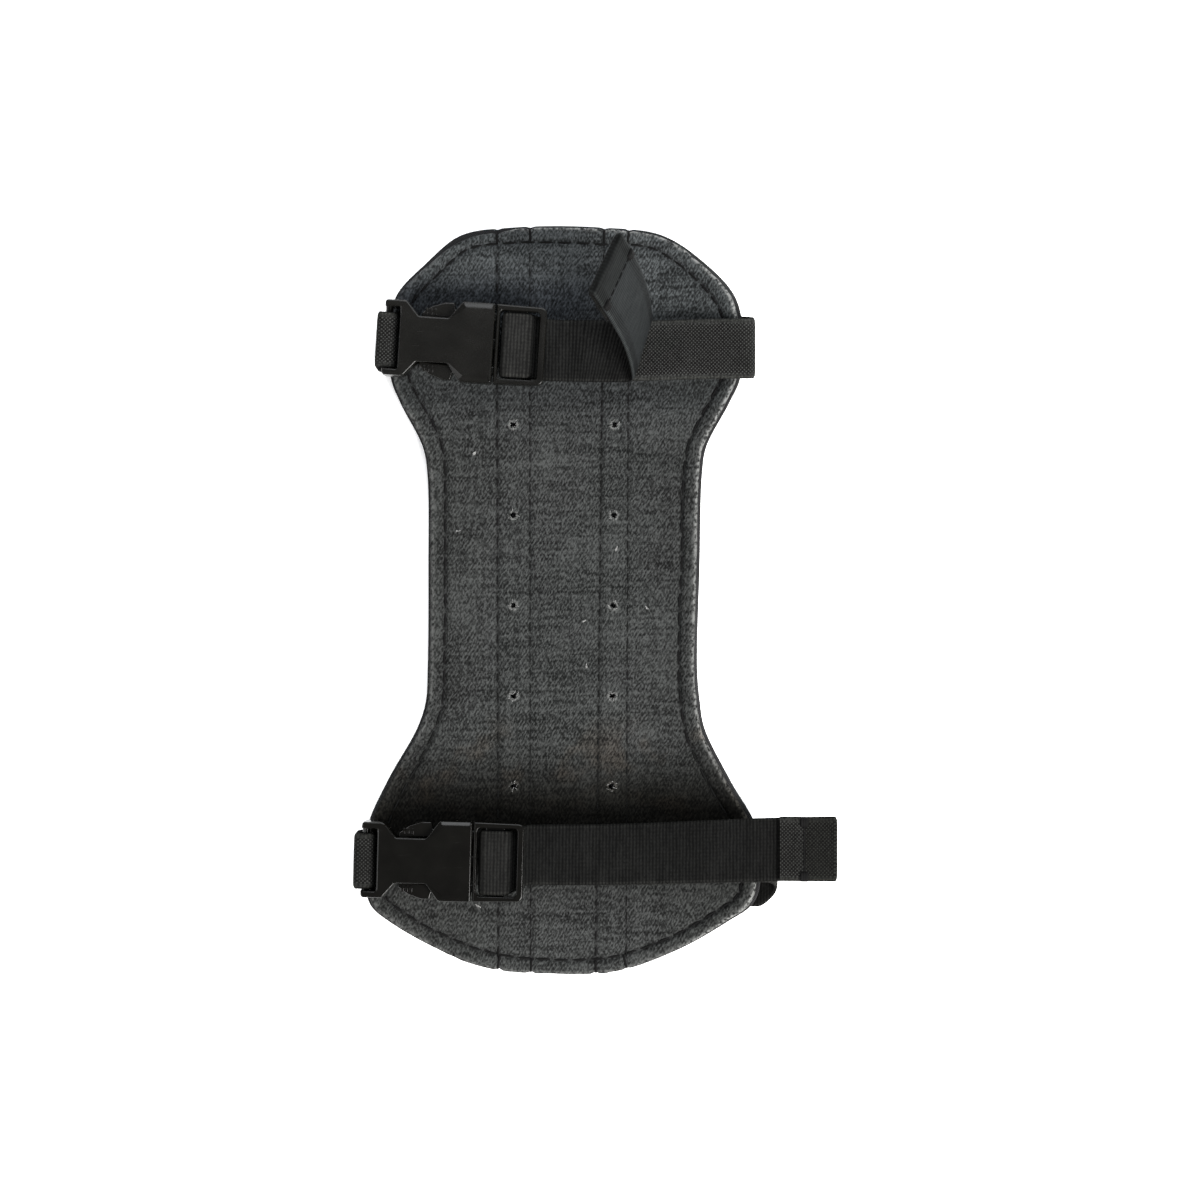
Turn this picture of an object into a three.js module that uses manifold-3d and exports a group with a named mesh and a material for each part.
// Archer's arm guard: a padded cloth panel, two elastic straps and two side-release buckles.
// It lies on its outer face with the arm side up and the buckles fastened. Millimetres: +X runs across
// the arm, +Y along the arm, +Z up, and the origin is in the middle of what it rests on.
import * as THREE from "three";
import Module from "manifold-3d";
import { mergeVertices } from "three/addons/utils/BufferGeometryUtils.js";

const wasm = await Module();
wasm.setup();

// Driving sizes
const GAP = 0.3; // between neighbouring pieces
const STRAP_THICK = 1.2;
const HEM_LENGTH = 14;
const HEM_EXTRA = 1.1; // the folded layer of a hem
const OUTER_THICK = 1.0; // backing cloth
const PANEL_THICK = 3.6; // backing cloth and pad together
const FLAT_HALF = 17.5; // the panel is flat this far from its centre line
const CURL_RADIUS = 90; // its wings curl up on this radius, at mid-thickness
const HOLE_RADIUS = 0.85;
const HOLE_PITCH = 24.1;
const HOLES_IN_A_ROW = 5;
const FIRST_HOLE_Y = 47.1;
const GROOVE_DEPTH = 0.6; // sewn channel lines in the pad
const GROOVE_HALF = 0.9;
const GROOVE_PAST = 5; // how far the tools that cut the channels reach past the panel
const STRAP_HALF = 8; // half of the webbing's width at rest

// How finely round shapes are divided
const OUTLINE_STEPS = 88;
const OUTLINE_SAMPLES = 400;
const HOLE_SIDES = 8;
const BAR_SIDES = 10;
const RUN_STEP = 7; // millimetres, along a strap's straight run
const BACK_STEP = 9;
const TURN_STEP = 26; // degrees, round a strap's turn
const BEND_STEP = 16; // degrees, round the fold of a strap's free end

// The panel's outline: how far it reaches to each side of its centre line, from the bottom to the top.
const PANEL_SECTIONS = [
  { y: -99.6, left: 11.3, right: 12.4 },
  { y: -97.6, left: 23.2, right: 20.6 },
  { y: -92.0, left: 35.8, right: 33.3 },
  { y: -85.2, left: 46.4, right: 44.1 },
  { y: -81.5, left: 50.4, right: 49.2 },
  { y: -78.0, left: 51.7, right: 51.3 },
  { y: -69.5, left: 51.2, right: 52.2 },
  { y: -60.0, left: 51.5, right: 50.9 },
  { y: -48.0, left: 46.5, right: 44.3 },
  { y: -34.0, left: 38.8, right: 37.5 },
  { y: -27.0, left: 36.6, right: 36.3 },
  { y: -18.0, left: 36.1, right: 35.6 },
  { y: 8.0, left: 35.9, right: 36.2 },
  { y: 34.0, left: 36.2, right: 36.9 },
  { y: 41.0, left: 37.4, right: 38.0 },
  { y: 52.4, left: 43.1, right: 43.9 },
  { y: 59.0, left: 45.6, right: 46.8 },
  { y: 70.0, left: 45.9, right: 47.6 },
  { y: 80.7, left: 44.4, right: 45.5 },
  { y: 90.0, left: 36.5, right: 37.6 },
  { y: 97.7, left: 27.3, right: 26.3 },
  { y: 99.9, left: 13.2, right: 9.7 },
];
// The pad lies a little to the lower left on the backing, which shows as a dark edge on the other sides.
const PAD_OFFSET = { x: -0.25, y: -0.35 };
// Rim sections, from the underside round the edge to the field: inset from the outline, height above
// the panel's outer face. The dip in the pad's is its topstitch.
const PAD_RIM = [
  { inset: 1.0, height: OUTER_THICK + GAP },
  { inset: 0.5, height: OUTER_THICK + GAP + 0.4 },
  { inset: 0.6, height: 2.5 },
  { inset: 1.2, height: 3.2 },
  { inset: 2.4, height: PANEL_THICK },
  { inset: 3.6, height: 3.5 },
  { inset: 4.4, height: 2.8 },
  { inset: 5.2, height: 3.4 },
  { inset: 6.4, height: PANEL_THICK },
];
const BACKING_RIM = [
  { inset: 1.6, height: 0 },
  { inset: 0.75, height: 0.3 },
  { inset: 0.25, height: 0.7 },
  { inset: 0, height: OUTER_THICK },
  { inset: 1.0, height: OUTER_THICK },
];
const RIM_RADIUS = PANEL_THICK / 2 + 0.4; // clears the rolled rim all round, from its middle
// Shares of the way from the rim to the panel's spine at which the field is bent.
const FIELD_SHARES = [0.22, 0.44, 0.66, 0.86];
const SPINE_HALF = 58;
// The sewn channel lines and the rows of punched holes, by their distance from the centre line.
const CHANNELS = [
  { bottom: -17.2, top: -17.6 },
  { bottom: -8.6, top: -8.8 },
  { bottom: 8.7, top: 11.0 },
  { bottom: 16.9, top: 17.6 },
];
const HOLE_ROWS = [
  { bottom: -13.1, top: -13.2 },
  { bottom: 13.0, top: 13.8 },
];

// The buckle: u runs along it from the socket's ears, v across, w up from its lowest face.
const SOCKET_LENGTH = 29.1;
const SOCKET_HEIGHT = 7.2;
const SOCKET_BEVEL = 0.7;
const PLATE = 1.5; // the socket's upper and lower plates
const EAR_HALF = 9.9;
const FLARE_HALF = 10.5;
const CAVITY_HALF = 8.9;
const CAVITY_START = 8.2;
const THROAT_HALF = 8.2; // the opening between the ears, where the strap's loop goes
const THROAT_END = 4.4;
const BAR_RADIUS = 0.95;
const SOCKET_OUTLINE = [
  { u: 0, v: 7.2 },
  { u: 0.6, v: 9.0 },
  { u: 1.9, v: EAR_HALF },
  { u: 5.8, v: EAR_HALF },
  { u: 9.2, v: 5.9 },
  { u: 17.4, v: 5.9 },
  { u: 20.4, v: FLARE_HALF },
  { u: SOCKET_LENGTH, v: FLARE_HALF },
];
const PLUG_LENGTH = 42.7;
const SUNK = 0.5; // how deep the pieces of a moulding run into each other
const FRAME = { start: 29.45, low: 0.5, high: 6.0, startHalf: 10.5, endHalf: 10.2, corner: 1.2, bevel: 0.4 };
const WINDOW = { start: 30.4, end: 41.0, half: 9.0 };
const MIDDLE_BAR = { start: 32.5, end: 37.7, low: 2.1, high: 4.2 };
const END_RAISE = { start: 39.7, low: 3.6 }; // the strap leaves under the frame's raised end
const PRONG = { low: 1.9, high: 5.3 };
const GUIDE = { start: 12.5, half: 1.4, low: 2.3, high: 4.9 };
const PRONG_OUTLINE = [
  { u: 30.0, v: 5.9 },
  { u: 30.0, v: 8.2 },
  { u: 21.5, v: 7.9 },
  { u: 18.8, v: 8.3 },
  { u: 18.3, v: 10.1 },
  { u: 16.0, v: 10.0 },
  { u: 12.6, v: 8.9 },
  { u: 9.9, v: 7.0 },
  { u: 9.7, v: 5.5 },
  { u: 13.0, v: 6.0 },
  { u: 18.0, v: 6.2 },
];

// How the strap runs through the buckle, in the buckle's u and w.
const MAIN_W = 1.2;
const OVER_W = MIDDLE_BAR.high + GAP + STRAP_THICK / 2;
const TAIL_W = MAIN_W + STRAP_THICK + GAP;
const INNER_LEG_U = 31.5;
const OUTER_LEG_U = 38.7;
const UNDER_FRAME = 10; // from the frame's far edge to where the strap turns up through its window
const LEG_TURN = 1.1;
const LAST_TURN = 1.15;
const BUCKLE_PIVOT_U = 18; // the buckle is turned about this point of its axis
const SOCKET_RISE = PANEL_THICK / 2 + GAP; // the socket's lowest face over the middle of the rolled rim
const LOOP_CLIMB = 40; // degrees, how the strap rises from the panel's edge to the bar
const LOOP_RUN = 1.6;
const LOOP_TURN = 2.0;
const LOOP_TO_EARS = 3.2; // from the middle of the rolled rim out to the socket's ears
const LOOP_HUG = RIM_RADIUS + GAP + STRAP_THICK / 2; // the strap's middle round the rim
const SEWN_END_LEAN = 10.5; // degrees round the left wing's curl, where the strap's sewn end is
const LANDING_RADIUS = 20; // on which the strap's second layer comes down to the surface

// The strap's cross-section and its free end
const SELVEDGE = 0.96; // share of the half width at which the section's edges are chamfered
const HEM_STEP = 0.6; // length in which the strap thickens into its hem
const FLAT_SHARES = [0.34, 0.68, 1];
const CURL_STEPS = 5; // sections of the free end from its bend to its hem
const HEM_STEPS = 3;
const SKEW_FADE = { start: 2, end: 18 }; // distances past the fold over which its skew dies out

// The two straps. sway follows named places along the strap: its sideways shift, its share of the
// buckle's yaw, and its width, because elastic narrows where it is stretched.
const STRAPS = [
  {
    name: "upper",
    y: 68.1,
    yaw: -3.5,
    slack: 2.0,
    sway: [
      { at: "start", shift: -0.5, yaw: 0, width: 15 },
      { at: "loop_in", shift: -0.6, yaw: 1, width: 14.6 },
      { at: "loop_out", shift: -0.6, yaw: 1, width: 14.6 },
      { at: "back_left", shift: -0.8, yaw: 0, width: 16 },
      { at: "wing_right", shift: -0.4, yaw: 0, width: 16 },
      { at: "front_right", shift: -1.5, yaw: 0, width: 16 },
      { at: "frame_edge", shift: -1.7, yaw: 0.3, width: 16 },
      { at: "window_in", shift: 0, yaw: 1, width: 16.9 },
      { at: "window_out", shift: 0, yaw: 1, width: 16.9 },
      { at: "tail_near", shift: -1.9, yaw: 0.2, width: 16.2 },
      { at: "tail_end", shift: -2.0, yaw: 0, width: 17.8 },
    ],
    tail: { near: 6, flat: 18.4, bend: 97.5, bendRadius: 3.5, skew: 16.5, blade: 46, curl: 21.5 },
  },
  {
    name: "lower",
    y: -68.2,
    yaw: -1.5,
    slack: 3.5,
    sway: [
      { at: "start", shift: -0.7, yaw: 0, width: 15 },
      { at: "loop_in", shift: -0.6, yaw: 1, width: 14.6 },
      { at: "loop_out", shift: -0.6, yaw: 1, width: 14.6 },
      { at: "back_left", shift: -0.8, yaw: 0, width: 16 },
      { at: "wing_right", shift: -5.2, yaw: 0, width: 16 },
      { at: "front_right", shift: 1.6, yaw: 0, width: 15.4 },
      { at: "frame_edge", shift: 1.2, yaw: 1, width: 14.4 },
      { at: "window_in", shift: -0.2, yaw: 1, width: 16.8 },
      { at: "window_out", shift: -0.2, yaw: 1, width: 16.8 },
      { at: "tail_near", shift: 1.7, yaw: 0.5, width: 15.8 },
      { at: "tail_end", shift: 3.2, yaw: 0, width: 16.9 },
    ],
    tail: { near: 5, flat: 30, bend: 4, bendRadius: 120, skew: 0, blade: 42, curl: 1 },
  },
];

const STRAP_COLOUR = { color: 0x2d2e2c, roughness: 0.9, metalness: 0 };
const PLASTIC_COLOUR = { color: 0x1d1d1b, roughness: 0.45, metalness: 0 };
const PAD_COLOUR = { color: 0x46484a, roughness: 0.95, metalness: 0 };
const BACKING_COLOUR = { color: 0x18181a, roughness: 0.85, metalness: 0 };

const MID_HEIGHT = STRAP_THICK + GAP + PANEL_THICK / 2;
const WELD = 1e-4; // points closer than this are one
const { degToRad: radians, lerp: mix, smoothstep, clamp } = THREE.MathUtils;

// Closed solids

function named(name, geometry, colour) {
  geometry.computeVertexNormals();
  const mesh = new THREE.Mesh(geometry, new THREE.MeshStandardMaterial(colour));
  mesh.name = name;
  return mesh;
}

function solidOf(geometry) {
  const bare = new THREE.BufferGeometry().setAttribute("position", geometry.getAttribute("position"));
  if (geometry.index) bare.setIndex(geometry.index);
  const merged = mergeVertices(bare, WELD);
  const vertProperties = new Float32Array(merged.attributes.position.array);
  const triVerts = new Uint32Array(merged.index.array);
  return new wasm.Manifold(new wasm.Mesh({ numProp: 3, vertProperties, triVerts }));
}

function geometryOf(solid) {
  const { vertProperties, triVerts } = solid.getMesh();
  const geometry = new THREE.BufferGeometry();
  geometry.setAttribute("position", new THREE.BufferAttribute(vertProperties, 3));
  geometry.setIndex(new THREE.BufferAttribute(triVerts, 1));
  return geometry;
}

// Skins a closed solid over rings of as many points each, and closes its two ends with flat fans of
// triangles found in the XY plane, or for a convex ring in its own order.
function skin(rings, convexEnds) {
  const count = rings[0].length;
  const index = [];
  for (let r = 0; r + 1 < rings.length; r += 1) {
    for (let i = 0; i < count; i += 1) {
      const a = r * count + i;
      const b = r * count + ((i + 1) % count);
      index.push(a, b, b + count, a, b + count, a + count);
    }
  }
  const fan = Array.from({ length: count - 2 }, (_, i) => [0, i + 1, i + 2]);
  const endOf = (ring) => {
    if (convexEnds) return fan;
    return THREE.ShapeUtils.triangulateShape(
      ring.map((p) => new THREE.Vector2(p.x, p.y)),
      [],
    );
  };
  const last = (rings.length - 1) * count;
  endOf(rings[0]).forEach(([a, b, c]) => index.push(a, c, b));
  endOf(rings.at(-1)).forEach(([a, b, c]) => index.push(last + a, last + b, last + c));
  const geometry = new THREE.BufferGeometry().setFromPoints(rings.flat());
  geometry.setIndex(index);
  return geometry;
}

function boxSolid(u0, u1, v0, v1, w0, w1) {
  const box = new THREE.BoxGeometry(u1 - u0, v1 - v0, w1 - w0);
  return solidOf(box.translate((u0 + u1) / 2, (v0 + v1) / 2, (w0 + w1) / 2));
}

function plateSolid(points, low, high, bevel) {
  const shape = new THREE.Shape(points.map(({ u, v }) => new THREE.Vector2(u, v)));
  const plate = new THREE.ExtrudeGeometry(shape, {
    depth: high - low - 2 * bevel,
    bevelEnabled: bevel > 0,
    bevelThickness: bevel,
    bevelSize: bevel,
    bevelOffset: -bevel,
    bevelSegments: 2,
  });
  return solidOf(plate.translate(0, 0, low + bevel));
}

const mirrored = (half) => [...half, ...half.map(({ u, v }) => ({ u, v: -v })).reverse()];

// The cloth panel

// Lays a point of the flat panel on its curled form.
function curled(x, y, height) {
  const lean = Math.asin(Math.max(Math.abs(x) - FLAT_HALF, 0) / CURL_RADIUS);
  const off = height - PANEL_THICK / 2;
  return new THREE.Vector3(
    x - Math.sign(x) * off * Math.sin(lean),
    y,
    MID_HEIGHT + CURL_RADIUS * (1 - Math.cos(lean)) + off * Math.cos(lean),
  );
}

const outlineCurve = new THREE.CatmullRomCurve3(
  [
    ...PANEL_SECTIONS.map(({ y, right }) => new THREE.Vector3(right, y, 0)),
    ...PANEL_SECTIONS.map(({ y, left }) => new THREE.Vector3(-left, y, 0)).reverse(),
  ],
  true,
  "centripetal",
);
outlineCurve.arcLengthDivisions = 2 * OUTLINE_SAMPLES;
const outline = Array.from({ length: OUTLINE_STEPS }, (_, i) => {
  const point = outlineCurve.getPointAt(i / OUTLINE_STEPS);
  const along = outlineCurve.getTangentAt(i / OUTLINE_STEPS);
  return { point, normal: new THREE.Vector3(along.y, -along.x, 0) };
});

function panelRing({ inset, height, share = 0 }, offset) {
  return outline.map(({ point, normal }) => {
    const spot = point.clone().addScaledVector(normal, -inset);
    const spine = new THREE.Vector3(0, clamp(spot.y, -SPINE_HALF, SPINE_HALF), 0);
    spot.lerp(spine, share);
    return curled(spot.x + offset.x, spot.y + offset.y, height);
  });
}

function clothLayer(rim, offset) {
  const under = FIELD_SHARES.map((share) => ({ ...rim[0], share })).reverse();
  const over = FIELD_SHARES.map((share) => ({ ...rim.at(-1), share }));
  return skin([...under, ...rim, ...over].map((row) => panelRing(row, offset)), false);
}

// A prism along a channel line, with its lower edge in the cloth.
function grooveSolid({ bottom, top }) {
  const reach = PANEL_SECTIONS.at(-1).y + GROOVE_PAST;
  const surface = MID_HEIGHT + PANEL_THICK / 2;
  const section = [
    { x: 2 * GROOVE_HALF, z: surface + GROOVE_DEPTH },
    { x: 0, z: surface - GROOVE_DEPTH },
    { x: -2 * GROOVE_HALF, z: surface + GROOVE_DEPTH },
  ];
  const rings = [
    section.map(({ x, z }) => new THREE.Vector3(bottom + x, -reach, z)),
    section.map(({ x, z }) => new THREE.Vector3(top + x, reach, z)),
  ];
  return solidOf(skin(rings, true));
}

function holeSolids() {
  return HOLE_ROWS.flatMap(({ bottom, top }) =>
    Array.from({ length: HOLES_IN_A_ROW }, (_, i) => {
      const x = mix(top, bottom, i / (HOLES_IN_A_ROW - 1));
      const punch = new THREE.CylinderGeometry(HOLE_RADIUS, HOLE_RADIUS, 4 * PANEL_THICK, HOLE_SIDES);
      punch.rotateX(Math.PI / 2).translate(x, FIRST_HOLE_Y - i * HOLE_PITCH, MID_HEIGHT);
      return solidOf(punch);
    }),
  );
}

const cut = (solid, tools) => tools.reduce((left, tool) => left.subtract(tool), solid);

function padGeometry() {
  const tools = [...CHANNELS.map(grooveSolid), ...holeSolids()];
  return geometryOf(cut(solidOf(clothLayer(PAD_RIM, PAD_OFFSET)), tools));
}

function backingGeometry() {
  return geometryOf(cut(solidOf(clothLayer(BACKING_RIM, { x: 0, y: 0 })), holeSolids()));
}

// How far the panel reaches to one side under a strap, and the middle of its rolled rim there.
function rimUnder(strap, side) {
  const points = outlineCurve.getPoints(OUTLINE_SAMPLES);
  const near = points.filter((p) => p.x * side > 0 && Math.abs(p.y - strap.y) < STRAP_HALF);
  const edge = Math.max(...near.map((p) => p.x * side));
  const lean = Math.asin((edge - PANEL_THICK / 2 - FLAT_HALF) / CURL_RADIUS);
  const radius = CURL_RADIUS - RIM_RADIUS + PANEL_THICK / 2;
  const x = FLAT_HALF + radius * Math.sin(lean);
  return { x: side * x, z: MID_HEIGHT + CURL_RADIUS - radius * Math.cos(lean), lean };
}

// The straps

// A strap's path in the XZ plane, walked forwards in straight runs and round turns.
class Route {
  constructor(x, z, heading) {
    this.stops = [{ x, z, heading, length: 0 }];
    this.marks = {};
  }
  get here() {
    return this.stops.at(-1);
  }
  mark(name) {
    this.marks[name] = this.here.length;
    return this;
  }
  ahead(distance, step = RUN_STEP) {
    const from = this.here;
    const count = Math.max(1, Math.ceil(distance / step));
    for (let i = 1; i <= count; i += 1) {
      const gone = (distance * i) / count;
      const x = from.x + gone * Math.cos(from.heading);
      const z = from.z + gone * Math.sin(from.heading);
      this.stops.push({ x, z, heading: from.heading, length: from.length + gone });
    }
    return this;
  }
  // Turns left by a positive angle in radians, and right by a negative one.
  turn(radius, angle) {
    const from = this.here;
    const side = Math.sign(angle);
    const count = Math.max(2, Math.ceil(Math.abs(angle) / radians(TURN_STEP)));
    const centreX = from.x - side * radius * Math.sin(from.heading);
    const centreZ = from.z + side * radius * Math.cos(from.heading);
    for (let i = 1; i <= count; i += 1) {
      const heading = from.heading + (angle * i) / count;
      const x = centreX + side * radius * Math.sin(heading);
      const z = centreZ - side * radius * Math.cos(heading);
      this.stops.push({ x, z, heading, length: from.length + (radius * Math.abs(angle) * i) / count });
    }
    return this;
  }
}

// Where a strap's buckle is, worked out from the panel's left rim.
function buckleOf(strap) {
  const rim = rimUnder(strap, -1);
  return { x: rim.x - LOOP_TO_EARS, z: rim.z + SOCKET_RISE, yaw: radians(strap.yaw) };
}

// From the sewn end behind the left wing: round the edge, round the socket's bar, round the edge again,
// across the back, round the right edge, and through the plug's adjuster.
function strapRoute(strap) {
  const half = STRAP_THICK / 2;
  const layer = STRAP_THICK + GAP;
  const left = rimUnder(strap, -1);
  const right = rimUnder(strap, 1);
  const buckle = buckleOf(strap);
  const under = CURL_RADIUS + PANEL_THICK / 2 + GAP + half; // under a wing, from the middle of its curl
  const curlZ = MID_HEIGHT + CURL_RADIUS;
  const start = radians(SEWN_END_LEAN);
  const climb = radians(LOOP_CLIMB);
  const landing = Math.acos((curlZ - half - LANDING_RADIUS) / (under + layer - LANDING_RADIUS));

  const startX = -FLAT_HALF - under * Math.sin(start);
  const route = new Route(startX, curlZ - under * Math.cos(start), Math.PI - start);
  route.mark("start");
  route.turn(under, -(left.lean - start)).turn(LOOP_HUG, -(Math.PI - left.lean - climb)).mark("loop_in");
  route.ahead(LOOP_RUN).turn(LOOP_TURN, Math.PI - climb);
  const outerLeg = left.x - LOOP_HUG - layer;
  route.ahead(route.here.x - outerLeg - LEG_TURN).turn(LEG_TURN, Math.PI / 2).mark("loop_out");
  route.ahead(route.here.z - left.z).turn(LOOP_HUG + layer, Math.PI / 2 - left.lean);
  route.turn(under + layer, left.lean - landing).turn(LANDING_RADIUS, landing).mark("back_left");
  route.ahead(FLAT_HALF - route.here.x, BACK_STEP);
  route.turn(under, right.lean / 2).turn(under, right.lean / 2).mark("wing_right");
  route.ahead(strap.slack);
  const rise = buckle.z + MAIN_W - route.here.z;
  route.turn(rise / (1 + Math.cos(right.lean)), Math.PI - right.lean).mark("front_right");
  route.ahead(route.here.x - buckle.x - INNER_LEG_U - LEG_TURN - UNDER_FRAME).mark("frame_edge");
  route.ahead(UNDER_FRAME).turn(LEG_TURN, -Math.PI / 2);
  route.mark("window_in").ahead(OVER_W - MAIN_W - 2 * LEG_TURN).turn(LEG_TURN, -Math.PI / 2);
  const lastDrop = OVER_W - TAIL_W - LAST_TURN;
  route.ahead(OUTER_LEG_U - INNER_LEG_U - LEG_TURN - lastDrop).turn(lastDrop, -Math.PI / 2);
  route.mark("window_out").turn(LAST_TURN, Math.PI / 2);
  return route.ahead(strap.tail.near).mark("tail_near");
}

// The strap's sway at a distance along it, eased between its named places.
function swayAt(strap, marks, length) {
  const rows = strap.sway;
  const next = rows.findIndex(({ at }) => marks[at] >= length);
  if (next === 0) return rows[0];
  const to = next < 0 ? rows.at(-1) : rows[next];
  const from = next < 0 ? to : rows[next - 1];
  const span = marks[to.at] - marks[from.at];
  const share = span > 0 ? smoothstep((length - marks[from.at]) / span, 0, 1) : 1;
  const eased = (column) => mix(from[column], to[column], share);
  return { shift: eased("shift"), yaw: eased("yaw"), width: eased("width") };
}

// Sections of the free end: flat, then bent about a line that crosses the strap at a skew, and curling
// on from there about the same direction.
function tailSections(strap, from) {
  const { flat, bend, bendRadius, skew, blade, curl } = strap.tail;
  const skewed = Math.tan(radians(skew));
  const across = new THREE.Vector3(Math.sin(radians(skew)), Math.cos(radians(skew)), 0);
  const ahead = new THREE.Vector3(across.y, -across.x, 0);
  const up = new THREE.Vector3(0, 0, 1);
  const bendRun = (bendRadius * radians(bend)) / across.y;
  const bendEnd = flat + bendRun;
  const curlRadius = (blade * across.y) / radians(curl);
  const total = bendEnd + blade;
  const hemStart = total - HEM_LENGTH;
  const bendSteps = Math.max(3, Math.ceil(bend / BEND_STEP));
  const steps = (count, start, end) =>
    Array.from({ length: count }, (_, i) => mix(start, end, (i + 1) / count));
  const places = [
    ...FLAT_SHARES.map((share) => share * flat),
    ...steps(bendSteps, flat, bendEnd),
    ...steps(CURL_STEPS, bendEnd, hemStart - HEM_STEP),
    hemStart,
    ...steps(HEM_STEPS, hemStart, total),
  ];
  return places.map((place) => {
    const before = Math.min(place - flat, 0) * across.y;
    const bent = clamp((place - flat) * across.y, 0, bendRun * across.y) / bendRadius;
    const beyond = Math.max(place - bendEnd, 0) * across.y;
    const angle = bent + beyond / curlRadius;
    const run = bendRadius * Math.sin(bent) + curlRadius * (Math.sin(angle) - Math.sin(bent));
    const rise = bendRadius * (1 - Math.cos(bent)) + curlRadius * (Math.cos(bent) - Math.cos(angle));
    const centre = from.clone().setX(from.x + flat);
    centre.addScaledVector(across, (place - flat) * across.x);
    centre.addScaledVector(ahead, before + run);
    centre.addScaledVector(up, rise);
    const turned = ahead.clone().multiplyScalar(Math.cos(angle)).addScaledVector(up, Math.sin(angle));
    const along = across.clone().multiplyScalar(across.x).addScaledVector(turned, across.y);
    const square = across.clone().multiplyScalar(across.y).addScaledVector(turned, -across.x);
    const left = 1 - smoothstep(beyond, SKEW_FADE.start, SKEW_FADE.end);
    const eased = smoothstep(place, 0, flat) * left;
    return {
      length: place,
      centre,
      across: square.addScaledVector(along, skewed * eased),
      normal: ahead.clone().multiplyScalar(-Math.sin(angle)).addScaledVector(up, Math.cos(angle)),
      hem: place > hemStart - HEM_STEP / 2 ? HEM_EXTRA : 0,
    };
  });
}

function strapGeometry(strap) {
  const buckle = buckleOf(strap);
  const route = strapRoute(strap);
  const upright = new THREE.Vector3(0, 0, 1);
  const pivot = new THREE.Vector3(buckle.x + BUCKLE_PIVOT_U, strap.y, 0);
  const run = route.stops.map(({ x, z, heading, length }) => ({
    length,
    centre: new THREE.Vector3(x, strap.y, z),
    across: new THREE.Vector3(0, 1, 0),
    normal: new THREE.Vector3(-Math.sin(heading), 0, Math.cos(heading)),
    hem: 0,
  }));
  const tail = tailSections(strap, run.at(-1).centre).map((row) => ({
    ...row,
    length: row.length + route.here.length,
  }));
  route.marks.tail_end = tail.at(-1).length;
  const rings = [...run, ...tail].map(({ length, centre, across, normal, hem }) => {
    const { shift, yaw, width } = swayAt(strap, route.marks, length);
    const middle = centre.clone().sub(pivot).applyAxisAngle(upright, yaw * buckle.yaw).add(pivot);
    middle.y += shift;
    const side = across.clone().applyAxisAngle(upright, yaw * buckle.yaw).multiplyScalar(width / 2);
    const face = normal.clone().applyAxisAngle(upright, yaw * buckle.yaw);
    const half = STRAP_THICK / 2;
    const section = [
      { over: -1, through: 0 },
      { over: -SELVEDGE, through: -half },
      { over: SELVEDGE, through: -half },
      { over: 1, through: 0 },
      { over: SELVEDGE, through: half + hem },
      { over: -SELVEDGE, through: half + hem },
    ];
    return section.map(({ over, through }) =>
      middle.clone().addScaledVector(side, over).addScaledVector(face, through),
    );
  });
  return geometryOf(solidOf(skin(rings, true)));
}

// The buckles

function socketGeometry() {
  const past = 1;
  const end = SOCKET_LENGTH + past;
  const cavity = boxSolid(CAVITY_START, end, -CAVITY_HALF, CAVITY_HALF, PLATE, SOCKET_HEIGHT - PLATE);
  const throat = boxSolid(-past, THROAT_END, -THROAT_HALF, THROAT_HALF, -past, SOCKET_HEIGHT + past);
  const plate = plateSolid(mirrored(SOCKET_OUTLINE), 0, SOCKET_HEIGHT, SOCKET_BEVEL);
  const body = cut(plate, [cavity, throat]);
  const climb = radians(LOOP_CLIMB);
  const barU = LOOP_TO_EARS - (LOOP_HUG + LOOP_TURN) * Math.sin(climb) + LOOP_RUN * Math.cos(climb);
  const barW = (LOOP_HUG + LOOP_TURN) * Math.cos(climb) + LOOP_RUN * Math.sin(climb) - SOCKET_RISE;
  const bar = new THREE.CylinderGeometry(BAR_RADIUS, BAR_RADIUS, 2 * (THROAT_HALF + SUNK), BAR_SIDES);
  return geometryOf(body.add(solidOf(bar.translate(barU, 0, barW))));
}

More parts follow.
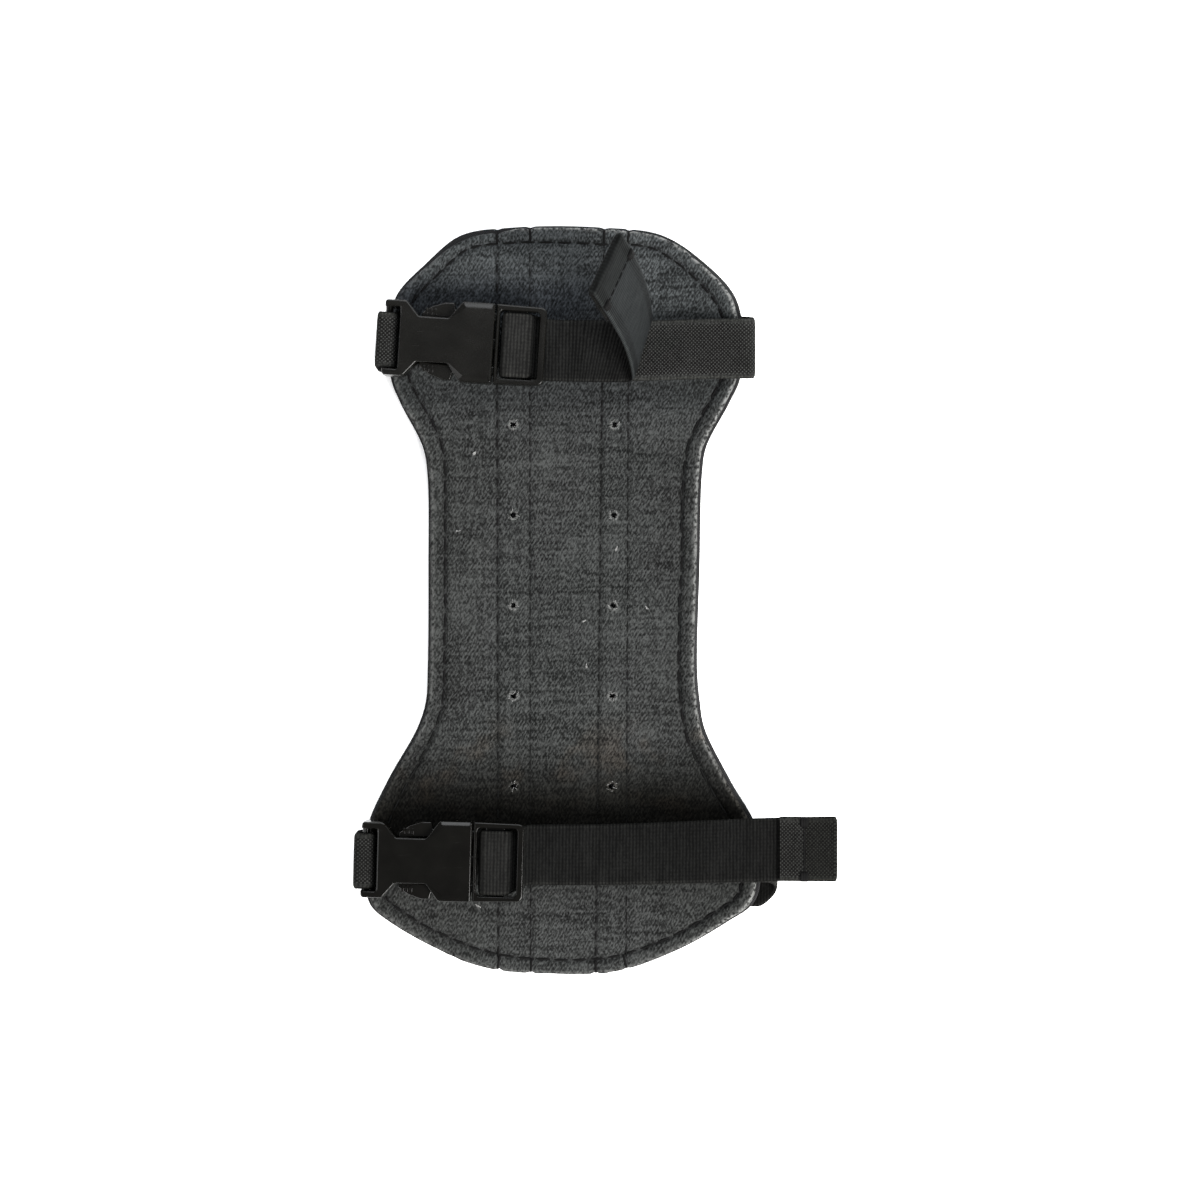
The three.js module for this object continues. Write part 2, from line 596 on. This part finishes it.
function plugGeometry() {
  const { start, low, high, startHalf, endHalf, corner, bevel } = FRAME;
  const half = [
    { u: start, v: startHalf },
    { u: PLUG_LENGTH - corner, v: endHalf },
    { u: PLUG_LENGTH, v: endHalf - corner },
  ];
  const past = 1;
  const frame = cut(plateSolid(mirrored(half), low, high, bevel), [
    boxSolid(WINDOW.start, WINDOW.end, -WINDOW.half, WINDOW.half, low - past, high + past),
    boxSolid(END_RAISE.start, PLUG_LENGTH + past, -startHalf, startHalf, low - past, END_RAISE.low),
  ]);
  const inFrame = WINDOW.half + SUNK;
  const bar = boxSolid(MIDDLE_BAR.start, MIDDLE_BAR.end, -inFrame, inFrame, MIDDLE_BAR.low, MIDDLE_BAR.high);
  const guide = boxSolid(GUIDE.start, start + SUNK, -GUIDE.half, GUIDE.half, GUIDE.low, GUIDE.high);
  const prong = plateSolid([...PRONG_OUTLINE].reverse(), PRONG.low, PRONG.high, 0);
  const otherSide = PRONG_OUTLINE.map(({ u, v }) => ({ u, v: -v }));
  const otherProng = plateSolid(otherSide, PRONG.low, PRONG.high, 0);
  return geometryOf([bar, guide, prong, otherProng].reduce((whole, piece) => whole.add(piece), frame));
}

function buckleGroup(strap) {
  const { x, z, yaw } = buckleOf(strap);
  const turned = new THREE.Group();
  turned.position.set(x + BUCKLE_PIVOT_U, strap.y, z);
  turned.rotation.z = yaw;
  const socket = named(`${strap.name}_socket`, socketGeometry(), PLASTIC_COLOUR);
  const plug = named(`${strap.name}_plug`, plugGeometry(), PLASTIC_COLOUR);
  [socket, plug].forEach((half) => half.position.setX(-BUCKLE_PIVOT_U));
  return turned.add(socket, plug);
}

// The whole guard, with its origin in the middle of its lowest face.
const pieces = new THREE.Group();
pieces.add(named("inner_cloth", padGeometry(), PAD_COLOUR));
pieces.add(named("outer_cloth", backingGeometry(), BACKING_COLOUR));
STRAPS.forEach((strap) => {
  pieces.add(named(`${strap.name}_strap`, strapGeometry(strap), STRAP_COLOUR));
  pieces.add(buckleGroup(strap));
});
const reach = new THREE.Box3().setFromObject(pieces, true);
const middle = reach.getCenter(new THREE.Vector3());
pieces.position.set(-middle.x, -middle.y, -reach.min.z);

const armGuard = new THREE.Group();
armGuard.add(pieces);

export default armGuard;
